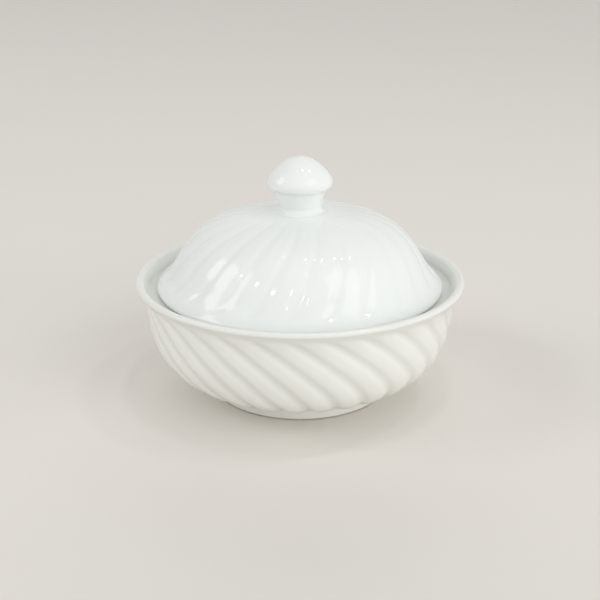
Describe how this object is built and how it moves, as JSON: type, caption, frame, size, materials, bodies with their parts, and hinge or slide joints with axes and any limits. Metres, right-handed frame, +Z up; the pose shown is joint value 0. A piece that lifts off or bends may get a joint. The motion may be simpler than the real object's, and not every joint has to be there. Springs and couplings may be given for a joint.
{
  "type": "donburi bowl with lid",
  "caption": "Round white porcelain bowl on a foot ring, with swirling ribs and a flared lip; a domed, fluted lid with a knob drops onto a ledge inside the mouth and lifts straight off.",
  "frame": {"origin": "on the table, at the middle of the bowl's foot ring", "axes": "+Z up along the axis of the bowl, lid and knob; -Y towards the viewer of the picture; +X to the viewer's right"},
  "size_m": [0.16, 0.16, 0.1168],
  "materials": {
    "bowl_glaze": "glossy warm white glaze, bare clay on the standing face of the foot ring",
    "lid_glaze": "glossy cool white glaze, bare clay on the standing face of the locating flange"
  },
  "bodies": {
    "bowl": {"bowl": "bowl_glaze"},
    "lid": {"lid": "lid_glaze", "knob": "lid_glaze"}
  },
  "joints": [
    {"name": "lid_lift", "type": "slide", "parent": "bowl", "child": "lid", "axis": [0, 0, 1], "range_m": [0, 0.1]}
  ]
}
